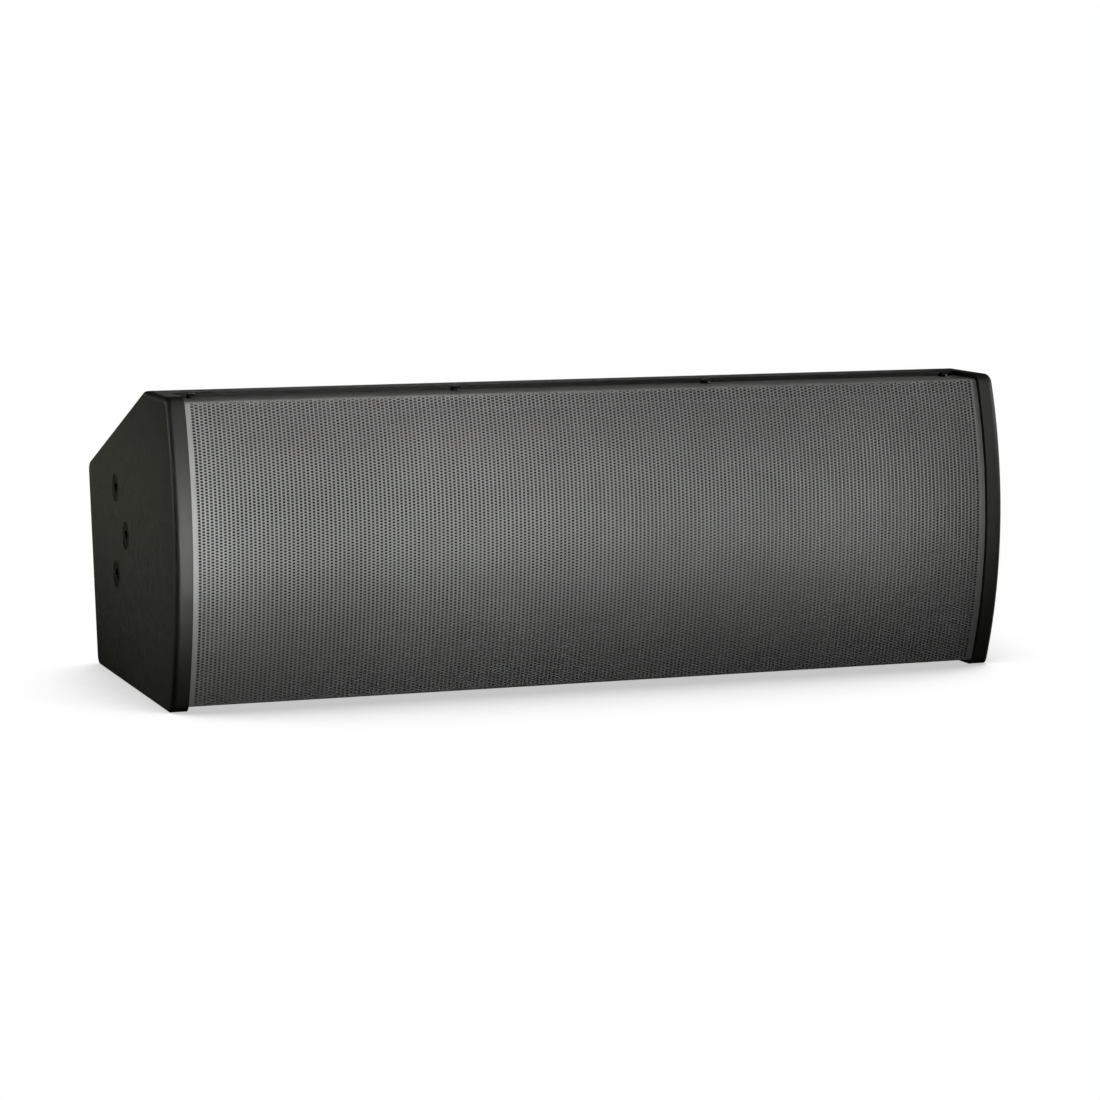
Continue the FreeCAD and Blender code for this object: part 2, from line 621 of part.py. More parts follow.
def woofer_terminals():
    """A pair of push terminals on a strip, on the inner side of each basket."""
    solids = []
    for side in (-1, 1):
        root = side * (WOOFER_X - 66.0)
        strip = box(min(root, root - side * 3), max(root, root - side * 3),
                    BAFFLE_Y + 51.5, BAFFLE_Y + 60.5, UNIT_Z - 14, UNIT_Z + 14)
        for z in (-8.0, 8.0):
            start = (root - side * 3, BAFFLE_Y + 56, UNIT_Z + z)
            strip = strip.fuse(cylinder(3.5, start, (-side, 0, 0), 9.0))
        solids.append(strip)
    return group(solids)


# ---- horn and compression driver ------------------------------------------------------------
def horn_screw_points():
    """(x, z, y of the seat) of the horn's eight screws."""
    ox, oz = HORN_SCREW_OFFSET
    spots = [(sx * ox, sz * oz) for sx in (-1, 1) for sz in (-1, 1)]
    spots += [(sx * ox, 0.0) for sx in (-1, 1)] + [(0.0, sz * oz) for sz in (-1, 1)]
    return [(x, UNIT_Z + z, BAFFLE_Y - HORN_FLANGE[2]) for x, z in spots]


def horn_loft(grow, ends=0.0):
    """Solid lofted through the horn's sections, each grown by a wall thickness."""
    wires = []
    for k, (depth, width, height, radius) in enumerate(HORN_SECTIONS):
        stretch = -ends if k == 0 else ends if k == len(HORN_SECTIONS) - 1 else 0.0
        wire = rounded_rectangle(width + 2 * grow, height + 2 * grow, radius + grow, -depth - stretch)
        wires.append(placed(wire, (0, BAFFLE_Y, UNIT_Z), (0, -1, 0)))
    return Part.makeLoft(wires, True, False)


def horn():
    """Moulded horn: mouth flange, flared walls and a round flange at the throat."""
    width, height, thick = HORN_FLANGE
    flange = rounded_box(width, height, 10.0, 0.0, thick)
    flange = placed(flange, (0, BAFFLE_Y, UNIT_Z), (0, -1, 0))
    throat_flange = ring(0.0, 46.0, HORN_DEPTH - 8.0, HORN_DEPTH)
    body = horn_loft(HORN_WALL).fuse(flange).fuse(throat_flange)
    body = body.cut(horn_loft(0.0, 0.02))
    for x, z, y in horn_screw_points():
        body = body.cut(cylinder(UNIT_SCREW_R, (x, y - 1, z), (0, 1, 0), thick + 2))
    return body


def horn_screws():
    """Eight button-head screws round the horn's mouth."""
    one = screw(4.6, 2.6, UNIT_SCREW_R, UNIT_SCREW_DEPTH + HORN_FLANGE[2] - 0.5, 3.0)
    return group([placed(one, (x, y, z), (0, -1, 0)) for x, z, y in horn_screw_points()])


def dome_points(radius, half, centre, steps=8):
    """Points of a dome's section from the axis to its rim."""
    return [(radius * math.sin(half * k / steps), centre + radius * math.cos(half * k / steps))
            for k in range(steps + 1)]


def hf_motor():
    """Pole plate with the throat bored through its pole, magnet ring and top plate."""
    plate_back = HORN_DEPTH + HF_PLATE_T
    magnet_back = plate_back + HF_MAGNET_T
    plug_seat = HF_REAR - HF_PLUG_LENGTH
    pole = turned([(18.0, HORN_DEPTH), (DRIVER_R, HORN_DEPTH), (DRIVER_R, plate_back),
                   (HF_POLE_R, plate_back), (HF_POLE_R, HF_REAR), (HF_PLUG_R, HF_REAR),
                   (HF_PLUG_R, plug_seat), (HF_PLUG_R - 5.0, plug_seat)])
    magnet = ring(46.0, DRIVER_R, plate_back, magnet_back)
    top_plate = ring(38.4, DRIVER_R, magnet_back, HF_REAR)
    return pole, magnet, top_plate


def hf_phase_plug():
    """Phase plug in the pole: a bullet and ring channels under the dome."""
    front = HF_REAR - HF_PLUG_LENGTH
    crown_r = DOME_R - HF_DOME_GAP
    crown = dome_points(crown_r, math.asin((HF_PLUG_R - 0.1) / crown_r), DOME_CENTRE)
    plug = turned([(0.0, front)] + crown + [(HF_PLUG_R - 0.1, front)])
    for r in (9.0, 19.0):
        for k in range(4):
            slot = polygon_face([(r, front - 1, 0), (r + 1.6, front - 1, 0),
                                 (r + 1.6, HF_REAR + 16, 0), (r, HF_REAR + 16, 0)])
            arc = slot.revolve(Vector(0, 0, 0), Vector(0, 1, 0), 76)
            arc.rotate(Vector(0, 0, 0), Vector(0, 1, 0), 90 * k)
            arc.translate(Vector(0, BAFFLE_Y, UNIT_Z))
            plug = plug.cut(arc)
    return plug


def hf_diaphragm():
    """Dome with its voice coil hanging in the gap."""
    skin = 0.3
    top = dome_points(DOME_R, DOME_HALF, DOME_CENTRE)
    under = list(reversed(dome_points(DOME_R - skin, DOME_HALF, DOME_CENTRE)))
    dome = turned(top + under)
    rim_a = top[-1][1]
    coil = ring(DOME_RIM_R - 0.1, DOME_RIM_R + 0.7, HF_REAR - 6.0, rim_a + 0.3)
    return dome.fuse(coil)


def hf_suspension():
    """Thin ring that carries the diaphragm, clamped under the rear cover."""
    rim_a = HF_REAR + 1.5
    inner_r, outer_r = DOME_RIM_R + 0.75, 48.0
    return turned([(inner_r, rim_a - 0.2), (40.0, rim_a - 0.2), (41.5, rim_a + 1.0), (43.0, rim_a - 0.2),
                   (outer_r, rim_a - 0.2), (outer_r, rim_a), (43.2, rim_a), (41.5, rim_a + 1.3),
                   (39.8, rim_a), (inner_r, rim_a)])


def hf_rear_cover():
    """Cast cover over the diaphragm, with a seat ring for the suspension."""
    back = HF_REAR + 30.0
    return turned([(0.0, back), (0.0, back - 3.0), (44.0, back - 3.0), (44.0, HF_REAR + 1.5),
                   (48.0, HF_REAR + 1.5), (48.0, HF_REAR), (62.0, HF_REAR), (62.0, HF_REAR + 6.0),
                   (57.0, HF_REAR + 9.0), (54.0, back - 4.0), (50.0, back)])


# ---- crossover ------------------------------------------------------------------------------
def board_corners():
    """(x, y) of the board's four fixings."""
    return [(sx * BOARD_SCREW[0], BOARD_Y + sy * BOARD_SCREW[1]) for sx in (-1, 1) for sy in (-1, 1)]


def crossover_parts():
    """Circuit board on standoffs with coils, capacitors and power resistors."""
    width, depth, thick = BOARD
    low = PLY + STANDOFF
    top = low + thick
    board = box(-width / 2, width / 2, BOARD_Y - depth / 2, BOARD_Y + depth / 2, low, top)
    standoffs = []
    for x, y in board_corners():
        board = board.cut(cylinder(1.6, (x, y, low - 1), (0, 0, 1), thick + 2))
        post = cylinder(3.5, (x, y, PLY), (0, 0, 1), STANDOFF)
        pin = cylinder(1.6, (x, y, PLY), (0, 0, 1), STANDOFF + thick)
        head = cylinder(3.0, (x, y, top), (0, 0, 1), 2.0)
        standoffs.append(post.fuse(pin).fuse(head).removeSplitter())
    coils = []
    for x, radius, height in ((-62.0, 26.0, 22.0), (0.0, 22.0, 20.0)):
        wound = cylinder(radius, (x, BOARD_Y, top), (0, 0, 1), height)
        coils.append(wound.cut(cylinder(radius * 0.45, (x, BOARD_Y, top - 1), (0, 0, 1), height + 2)))
    caps = [cylinder(9.0, (34.0 + 22.0 * k, BOARD_Y - 30.0, top + 9.0), (0, 1, 0), 42.0) for k in range(3)]
    resistors = [box(30.0, 80.0, BOARD_Y + 16.0 + 12.0 * k, BOARD_Y + 25.0 + 12.0 * k, top, top + 9.0)
                 for k in range(2)]
    return {"crossover_board": board, "crossover_standoffs": group(standoffs),
            "crossover_coils": group(coils), "crossover_capacitors": group(caps),
            "crossover_resistors": group(resistors)}


# ---- rear input plate -----------------------------------------------------------------------
def rear_placement():
    """Local axes of the rear panel: u across, v up the panel from its foot, w outwards."""
    dy, dz = REAR_TOP[0] - REAR_FOOT, REAR_TOP[1]
    length = math.hypot(dy, dz)
    up_y, up_z = dy / length, dz / length
    matrix = FreeCAD.Matrix(-1, 0, 0, 0,
                            0, up_y, up_z, REAR_FOOT,
                            0, up_z, -up_y, 0,
                            0, 0, 0, 1)
    return FreeCAD.Placement(matrix)


def on_rear(shape, u, v):
    """A shape drawn in local axes, set on the rear panel's face."""
    copy = shape.copy()
    copy.translate(Vector(u, v, 0))
    copy.Placement = rear_placement().multiply(copy.Placement)
    return copy


def input_screw_points():
    """(u, v) of the input plate's six screws."""
    half_w, half_h = INPUT_PLATE[0] / 2 - 6.0, INPUT_PLATE[1] / 2 - 6.0
    return [(u, INPUT_UP + v) for u in (-half_w, 0.0, half_w) for v in (-half_h, half_h)]


def cut_for_input(panel):
    """Rebate, opening and screw holes for the input plate, and the safety insert's hole."""
    width, height, _ = INPUT_PLATE
    rebate = rounded_box(width + 1.0, height + 1.0, 5.0, -INPUT_REBATE, 1.0)
    opening = rounded_box(width - 24.0, height - 24.0, 6.0, -PLY - 2, 1.0)
    panel = panel.cut(on_rear(rebate, 0, INPUT_UP)).cut(on_rear(opening, 0, INPUT_UP))
    for u, v in input_screw_points():
        pilot = Part.makeCylinder(INPUT_SCREW_R, 10.0, Vector(0, 0, -INPUT_REBATE - 10.0))
        panel = panel.cut(on_rear(pilot, u, v))
    insert_hole = Part.makeCylinder(7.0, PLY + 4, Vector(0, 0, -PLY - 2))
    flange_seat = Part.makeCylinder(13.0, 3.0, Vector(0, 0, -2.0))
    return panel.cut(on_rear(insert_hole, 0, SAFETY_UP)).cut(on_rear(flange_seat, 0, SAFETY_UP))


def input_gasket():
    """Foam seal between the input plate and the rebate."""
    width, height, _ = INPUT_PLATE
    seal = rounded_box(width, height, 5.0, -INPUT_REBATE, -INPUT_REBATE + INPUT_SEAL_T)
    seal = seal.cut(rounded_box(width - 22.0, height - 22.0, 6.0, -INPUT_REBATE - 1, 0.0))
    seal = on_rear(seal, 0, INPUT_UP)
    for u, v in input_screw_points():
        seal = seal.cut(on_rear(Part.makeCylinder(INPUT_SCREW_R, 6.0, Vector(0, 0, -5.0)), u, v))
    return seal


def input_plate():
    """Steel plate in the rear panel with two round socket openings."""
    width, height, thick = INPUT_PLATE
    low = -INPUT_REBATE + INPUT_SEAL_T
    plate = on_rear(rounded_box(width, height, 5.0, low, low + thick), 0, INPUT_UP)
    for u in (-SOCKET_X, SOCKET_X):
        plate = plate.cut(on_rear(Part.makeCylinder(SOCKET_BODY_R, 10.0, Vector(0, 0, -6.0)), u, INPUT_UP))
        for du, dv in socket_screw_offsets():
            hole = Part.makeCylinder(SOCKET_SCREW_R, 10.0, Vector(0, 0, -6.0))
            plate = plate.cut(on_rear(hole, u + du, INPUT_UP + dv))
    for u, v in input_screw_points():
        plate = plate.cut(on_rear(Part.makeCylinder(INPUT_SCREW_R, 10.0, Vector(0, 0, -6.0)), u, v))
    return plate


def socket_screw_offsets():
    """(u, v) of a socket's two diagonal screws, from its axis."""
    return ((9.5, 12.0), (-9.5, -12.0))


def speaker_socket(u):
    """Four-pole locking speaker socket: flange, barrel, ring-shaped cavity and centre core."""
    flange_t, depth, mouth = 2.5, 30.0, 6.5
    face = PLATE_FACE + flange_t
    body = rounded_box(26.0, 31.0, 3.0, PLATE_FACE, face)
    body = body.fuse(Part.makeCylinder(SOCKET_BODY_R, depth, Vector(0, 0, face - depth)))
    body = body.cut(Part.makeCylinder(SOCKET_CAVITY_R, depth - 4.0, Vector(0, 0, face - depth + 4.0)))
    core = Part.makeCylinder(6.0, depth - 4.0 - mouth, Vector(0, 0, face - depth + 4.0))
    core = core.cut(Part.makeBox(3.0, 3.0, 10.0, Vector(-1.5, 4.0, face - mouth - 8.0)))
    body = body.fuse(core).removeSplitter()
    for angle in (90, 270):
        key_root = Vector(SOCKET_CAVITY_R - 1.4, -1.2, face - depth + 4.0)
        key = Part.makeBox(1.6, 2.4, depth - 6.0 - mouth, key_root)
        key.rotate(Vector(0, 0, 0), Vector(0, 0, 1), angle)
        body = body.fuse(key)
    for du, dv in socket_screw_offsets():
        body = body.cut(Part.makeCylinder(SOCKET_SCREW_R, 10.0, Vector(du, dv, PLATE_FACE - 2)))
    return on_rear(body.removeSplitter(), u, INPUT_UP)


def input_screws():
    """Six screws for the plate and two for each socket."""
    plate_screw = screw(3.2, 1.8, INPUT_SCREW_R, 10.0, 2.0)
    socket_screw = screw(2.6, 1.4, SOCKET_SCREW_R, 6.0, 1.5)
    solids = []
    for u, v in input_screw_points():
        one = plate_screw.copy()
        one.translate(Vector(0, 0, PLATE_FACE))
        solids.append(on_rear(one, u, v))
    for u in (-SOCKET_X, SOCKET_X):
        for du, dv in socket_screw_offsets():
            one = socket_screw.copy()
            one.translate(Vector(0, 0, PLATE_FACE + 2.5))
            solids.append(on_rear(one, u + du, INPUT_UP + dv))
    return group(solids)


def safety_insert():
    """Flanged M10 insert for the rear safety or pull-back point."""
    insert = Part.makeCylinder(12.8, 1.8, Vector(0, 0, -2.0))
    insert = insert.fuse(Part.makeCylinder(7.0, PLY + 1.0, Vector(0, 0, -PLY - 1.2)))
    insert = insert.cut(Part.makeCylinder(THREAD_R, PLY + 10, Vector(0, 0, -PLY - 5)))
    lead_in = Part.makeCone(THREAD_R, THREAD_R + THREAD_LEAD_IN, THREAD_LEAD_IN,
                            Vector(0, 0, -0.2 - THREAD_LEAD_IN))
    return on_rear(insert.cut(lead_in).removeSplitter(), 0, SAFETY_UP)


# ---- assembly -------------------------------------------------------------------------------
def build():
    """Every node of the module, in the cabinet frame."""
    nodes = {}
    left = side_panel()
    nodes["side_panel_left"] = left
    nodes["side_panel_right"] = mirrored(left)
    panels = shell_panels()
    drill_for_grille(panels)
    panels["rear_panel"] = cut_for_input(panels["rear_panel"])
    nodes.update(panels)
    nodes["front_baffle"] = front_baffle()
    nodes["divider_left"] = divider()
    nodes["divider_right"] = mirrored(nodes["divider_left"])
    nodes["wadding_left"] = wadding()
    nodes["wadding_right"] = mirrored(nodes["wadding_left"])

    nodes["grille"] = grille()
    nodes["grille_foam"] = grille_foam()
    nodes["grille_screws"] = grille_screws()

    nodes["rigging_plate_left"] = rigging_plate()
    nodes["rigging_plate_right"] = mirrored(nodes["rigging_plate_left"])
    nodes["rigging_plate_screws"] = rigging_plate_screws()
    nodes["safety_insert"] = safety_insert()

    for side, x in (("left", -WOOFER_X), ("right", WOOFER_X)):
        nodes["woofer_frame_" + side] = woofer_frame(x)
        nodes["woofer_gasket_" + side] = woofer_gasket(x)
        nodes["woofer_surround_" + side] = woofer_surround(x)
        nodes["woofer_cone_" + side] = woofer_cone(x)
        nodes["woofer_dust_cap_" + side] = woofer_dust_cap(x)
        nodes["woofer_voice_coil_" + side] = woofer_voice_coil(x)
        nodes["woofer_spider_" + side] = woofer_spider(x)
        motor = woofer_motor(x)
        for name, solid in zip(("top_plate", "magnet", "yoke"), motor):
            nodes["woofer_%s_%s" % (name, side)] = solid
    nodes["woofer_screws"] = woofer_screws()
    nodes["woofer_terminals"] = woofer_terminals()

    nodes["horn"] = horn()
    nodes["horn_screws"] = horn_screws()
    for name, solid in zip(("hf_pole_plate", "hf_magnet", "hf_top_plate"), hf_motor()):
        nodes[name] = solid
    nodes["hf_phase_plug"] = hf_phase_plug()
    nodes["hf_diaphragm"] = hf_diaphragm()
    nodes["hf_suspension"] = hf_suspension()
    nodes["hf_rear_cover"] = hf_rear_cover()

    nodes.update(crossover_parts())
    nodes["input_gasket"] = input_gasket()
    nodes["input_plate"] = input_plate()
    nodes["speaker_socket_in"] = speaker_socket(SOCKET_X)
    nodes["speaker_socket_link"] = speaker_socket(-SOCKET_X)
    nodes["input_screws"] = input_screws()
    return nodes


def main():
    """Build the nodes, move the origin to the middle of the footprint and write them."""
    os.makedirs("parts", exist_ok=True)
    nodes = build()
    shift = Vector(0, (BOW - rear_reach()) / 2, 0)
    print("y shift", round(shift.y, 4), "nodes", len(nodes))
    for name, shape in nodes.items():
        shape.translate(shift)
        if not shape.isValid():
            print("not valid:", name)
        shape.exportStep("parts/%s.step" % name)


main()
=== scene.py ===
"""Looks for the line array module: perforated grille, foam and wadding, surface finishes, light.

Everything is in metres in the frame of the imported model: +X to the right for someone who faces
the grille, -Y out of the grille, +Z up, origin under the middle of the footprint.
"""
import math

import bpy
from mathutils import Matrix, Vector, noise


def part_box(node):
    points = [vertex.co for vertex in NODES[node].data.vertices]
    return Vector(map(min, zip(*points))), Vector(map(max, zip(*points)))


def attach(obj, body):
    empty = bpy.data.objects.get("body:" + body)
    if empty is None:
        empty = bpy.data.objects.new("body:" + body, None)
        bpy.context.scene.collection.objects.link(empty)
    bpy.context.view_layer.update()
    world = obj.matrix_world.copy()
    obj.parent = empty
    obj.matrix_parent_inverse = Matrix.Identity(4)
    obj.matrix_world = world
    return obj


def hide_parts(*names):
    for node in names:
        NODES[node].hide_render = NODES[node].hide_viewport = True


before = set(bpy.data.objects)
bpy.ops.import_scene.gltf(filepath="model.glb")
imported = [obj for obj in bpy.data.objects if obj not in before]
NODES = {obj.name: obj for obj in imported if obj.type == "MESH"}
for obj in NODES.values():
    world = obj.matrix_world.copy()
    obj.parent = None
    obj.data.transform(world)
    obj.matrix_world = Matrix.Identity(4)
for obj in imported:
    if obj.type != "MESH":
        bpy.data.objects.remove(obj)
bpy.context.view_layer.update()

MM = 0.001


def low_high(node):
    """Lowest and highest corner of a CAD node."""
    low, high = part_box(node)
    return Vector(low), Vector(high)


# ---- grille ---------------------------------------------------------------------------------
GRILLE_LOW, GRILLE_HIGH = low_high("grille")
SHEET_T = 1.5 * MM
BOW_R = 358.974 * MM         # outer face of the bowed sheet
BEND_R = 5.0 * MM
MID_Z = (GRILLE_LOW.z + GRILLE_HIGH.z) / 2
HALF_FLANGE_Z = GRILLE_HIGH.z - MID_Z
BOW_Y = GRILLE_LOW.y + BOW_R
BEND_Z = HALF_FLANGE_Z - BEND_R          # of the bend's axis, above the middle
BEND_Y = BOW_Y - math.sqrt((BOW_R - BEND_R) ** 2 - BEND_Z ** 2)
BEND_TILT = math.atan2(BEND_Z, BOW_Y - BEND_Y)
S_ARC = BOW_R * BEND_TILT                # length along the outer face, from the middle
S_BEND = S_ARC + BEND_R * (math.pi / 2 - BEND_TILT)
S_END = S_BEND + GRILLE_HIGH.y - BEND_Y

COLUMNS = 197
ROWS = 101
PITCH_X = 3.616 * MM
PITCH_S = 2.56 * MM
FIELD_X = -0.45 * MM          # the perforated field sits a little off centre
FIELD_S = ROWS * PITCH_S / 2  # half its length; it ends within the bends
HOLE_HALF_W = 1.45 * MM
HOLE_HALF_H = 0.84 * MM
HOLE_FLAT_W = 1.05 * MM       # half the width of the upper and the lower edge
SHEET_PIECES = 5
SCREWS_LOW, SCREWS_HIGH = low_high("grille_screws")
SCREW_HEAD_R = 5.0 * MM
SCREW_HOLE_R = 2.5 * MM
SCREW_END_X = SCREWS_HIGH.x - SCREW_HEAD_R
SCREW_X = (-SCREW_END_X, -SCREW_END_X / 3, SCREW_END_X / 3, SCREW_END_X)
SCREW_S = S_BEND + (SCREWS_LOW.y + SCREWS_HIGH.y) / 2 - BEND_Y
SCREW_BLOCK = 7.0 * MM        # half the length of the strip that holds the screws
SCREW_COLUMNS = 2             # lattice columns on each side of a screw hole
BEND_STEPS = 3                # from the last row of holes to the flange


def sheet_point(s, depth):
    """y and z of the sheet at length s along its outer face, depth below that face."""
    side = 1 if s >= 0 else -1
    length = abs(s)
    if length <= S_ARC:
        angle = length / BOW_R
        y = BOW_Y - (BOW_R - depth) * math.cos(angle)
        z = (BOW_R - depth) * math.sin(angle)
    elif length <= S_BEND:
        angle = BEND_TILT + (length - S_ARC) / BEND_R
        y = BEND_Y - (BEND_R - depth) * math.cos(angle)
        z = BEND_Z + (BEND_R - depth) * math.sin(angle)
    else:
        y = BEND_Y + length - S_BEND
        z = HALF_FLANGE_Z - depth
    return y, MID_Z + side * z


LEVELS = [FIELD_S + (S_BEND - FIELD_S) * (k + 1) / BEND_STEPS for k in range(BEND_STEPS)]
LEVELS += [SCREW_S - SCREW_BLOCK, SCREW_S + SCREW_BLOCK, S_END]
LAST_J = 2 * ROWS
LAST_I = COLUMNS
SCREW_LEVEL = len(LEVELS) - 2            # the strip that holds the screws, from this level on


def lattice_x(i):
    """x of a lattice line; the lines before the first and after the last are the sheet's edges."""
    if i < 0:
        return GRILLE_LOW.x
    if i > LAST_I:
        return GRILLE_HIGH.x
    return FIELD_X + (i - COLUMNS / 2) * PITCH_X


def lattice_s(j):
    """Length s of a lattice line, in half pitches inside the field and levels outside it."""
    if j < 0:
        return -LEVELS[-j - 1]
    if j > LAST_J:
        return LEVELS[j - LAST_J - 1]
    return (j - ROWS) * PITCH_S / 2


def rings(first, last):
    """Outer face of columns first to last, as polygons whose corners are lattice keys.

    A key is (i, j), or ("hole", x, s) for a corner on the rim of a hole.
    """
    faces = []
    hole = [(-HOLE_HALF_W, 0), (-HOLE_FLAT_W, -HOLE_HALF_H), (HOLE_FLAT_W, -HOLE_HALF_H),
            (HOLE_HALF_W, 0), (HOLE_FLAT_W, HOLE_HALF_H), (-HOLE_FLAT_W, HOLE_HALF_H)]

    def ring(border, inner):
        for k in range(len(border)):
            n = (k + 1) % len(border)
            faces.append((border[k], border[n], inner[n], inner[k]))

    def quad(i, j):
        faces.append(((i, j), (i + 1, j), (i + 1, j + 1), (i, j + 1)))

    for i in range(first, last):
        if 0 <= i < LAST_I:
            start = i % 2
            if start:
                quad(i, 0)
                quad(i, LAST_J - 1)
            for j in range(start, LAST_J - start, 2):
                border = [(i, j + 1), (i, j), (i + 1, j),
                          (i + 1, j + 1), (i + 1, j + 2), (i, j + 2)]
                x = (lattice_x(i) + lattice_x(i + 1)) / 2
                s = lattice_s(j + 1)
                ring(border, [("hole", x + a, s + b) for a, b in hole])
        else:
            for j in range(LAST_J):
                quad(i, j)
    # plain strips at the top and bottom, with the screw holes
    for side in (-1, 1):
        for level in range(len(LEVELS)):
            j = LAST_J + level if side > 0 else -level - 1
            taken = set()
            if level == SCREW_LEVEL:
                for screw_x in SCREW_X:
                    mid = min(range(-1, LAST_I + 1), key=lambda i: abs(lattice_x(i) - screw_x))
                    a = max(mid - SCREW_COLUMNS, -1)
                    b = min(mid + SCREW_COLUMNS, LAST_I + 1)
                    if not (first <= a and b <= last):
                        continue
                    taken.update(range(a, b))
                    border = [(i, j) for i in range(a, b + 1)]
                    border += [(i, j + 1) for i in range(b, a - 1, -1)]
                    s0 = side * SCREW_S
                    inner = []
                    for corner in border:
                        dx, ds = lattice_x(corner[0]) - screw_x, lattice_s(corner[1]) - s0
                        r = SCREW_HOLE_R / math.hypot(dx, ds)
                        inner.append(("hole", screw_x + dx * r, s0 + ds * r))
                    ring(border, inner)
            for i in range(first, last):
                if i not in taken:
                    quad(i, j)
    return faces


def perforated_piece(name, first, last):
    """Closed mesh of part of the grille: outer and inner face, hole walls and edge walls."""
    index, outer, inner = {}, [], []

    def vertex(key):
        if key not in index:
            index[key] = len(outer)
            x, s = (key[1], key[2]) if key[0] == "hole" else (lattice_x(key[0]), lattice_s(key[1]))
            outer.append((x, *sheet_point(s, 0.0)))
            inner.append((x, *sheet_point(s, SHEET_T)))
        return index[key]

    faces = [tuple(vertex(key) for key in face) for face in rings(first, last)]
    edges = {}
    for face in faces:
        for a, b in zip(face, face[1:] + face[:1]):
            edges[(a, b)] = True
    count = len(outer)
    solid = list(faces)
    solid += [tuple(count + v for v in reversed(face)) for face in faces]
    solid += [(b, a, count + a, count + b) for a, b in edges if (b, a) not in edges]
    mesh = bpy.data.meshes.new(name)
    mesh.from_pydata(outer + inner, [], solid)
    mesh.validate()
    piece = bpy.data.objects.new(name, mesh)
    bpy.context.scene.collection.objects.link(piece)
    return piece


grille_pieces = []
for part in range(SHEET_PIECES):
    first = -1 if part == 0 else part * COLUMNS // SHEET_PIECES
    last = COLUMNS + 1 if part == SHEET_PIECES - 1 else (part + 1) * COLUMNS // SHEET_PIECES
    grille_pieces.append(perforated_piece("grille_sheet_%d" % (part + 1), first, last))


# ---- soft pieces ----------------------------------------------------------------------------
EDGE_STEPS = 5                # points in the rounding of each edge
WELD_GAP = 0.00002


def edge_samples(length, rounding, step):
    """Positions from 0 to length, close together within the rounding of each end."""
    near = [rounding * (1 - math.cos(math.pi / 2 * k / EDGE_STEPS)) for k in range(EDGE_STEPS + 1)]
    count = max(2, round((length - 2 * rounding) / step))
    middle = [rounding + (length - 2 * rounding) * k / count for k in range(1, count)]
    return near + middle + [length - v for v in reversed(near)]


def soft_sheet(name, path, length, x0, x1, half, lump, lump_size, step, seed):
    """Closed soft slab along path(s) -> (y, z, normal y, normal z), with rounded edges and lumps.

    half is half its thickness, lump the depth of its dents and lump_size their size.
    """
    xs = [x0 + v for v in edge_samples(x1 - x0, half, step)]
    ss = edge_samples(length, half, step)
    front, back = [], []

    def thickness(x, s):
        edge = min(x - x0, x1 - x, s, length - s)
        return half if edge >= half else math.sqrt(max(half * half - (half - edge) ** 2, 0.0))

    for s in ss:
        y, z, ny, nz = path(s)
        for x in xs:
            t = thickness(x, s)
            for side, points in ((-1, front), (1, back)):
                spot = Vector((x, y, z)) / lump_size + Vector((seed, side * 7.0, 0))
                dent = lump * (0.5 + 0.5 * noise.noise(spot)) * t / half
                reach = side * (t - dent)
                points.append((x, y + ny * reach, z + nz * reach))
    nx, ns = len(xs), len(ss)
    faces = []
    for r in range(ns - 1):
        for c in range(nx - 1):
            a, b, d, e = r * nx + c, r * nx + c + 1, (r + 1) * nx + c + 1, (r + 1) * nx + c
            faces.append((a, b, d, e))
            faces.append(tuple(len(front) + v for v in (e, d, b, a)))
    mesh = bpy.data.meshes.new(name)
    mesh.from_pydata(front + back, [], faces)
    piece = bpy.data.objects.new(name, mesh)
    bpy.context.scene.collection.objects.link(piece)
    weld = piece.modifiers.new("weld", "WELD")
    weld.merge_threshold = WELD_GAP
    bpy.context.view_layer.update()
    depsgraph = bpy.context.evaluated_depsgraph_get()
    solid = bpy.data.meshes.new_from_object(piece.evaluated_get(depsgraph))
    piece.modifiers.clear()
    piece.data = solid
    solid.shade_smooth()
    return piece


FOAM_LOW, FOAM_HIGH = low_high("grille_foam")
FOAM_HALF = 4.0 * MM
FOAM_GAP = 0.3 * MM           # between the sheet and the foam
FOAM_TRIM = 2.0 * MM          # the last column of holes looks past the foam
FOAM_R = BOW_R - SHEET_T - FOAM_GAP - FOAM_HALF
FOAM_ANGLE = math.asin((FOAM_HIGH.z - MID_Z) / FOAM_R)


def foam_path(s):
    """Middle surface of the foam behind the bowed sheet."""
    angle = s / FOAM_R - FOAM_ANGLE
    y = BOW_Y - FOAM_R * math.cos(angle)
    z = MID_Z + FOAM_R * math.sin(angle)
    return y, z, math.cos(angle), -math.sin(angle)


foam = soft_sheet("grille_foam_lining", foam_path, 2 * FOAM_R * FOAM_ANGLE,
                  FOAM_LOW.x + FOAM_TRIM, FOAM_HIGH.x - FOAM_TRIM, FOAM_HALF,
                  lump=0.25 * MM, lump_size=0.011, step=0.008, seed=3.0)

WADDING_HALF = 10.5 * MM
WADDING_LINE = ((-0.06766, 0.23550), (0.13585, 0.16136), (0.11663, 0.02650))   # y, z
WADDING_BEND_R = 18.0 * MM


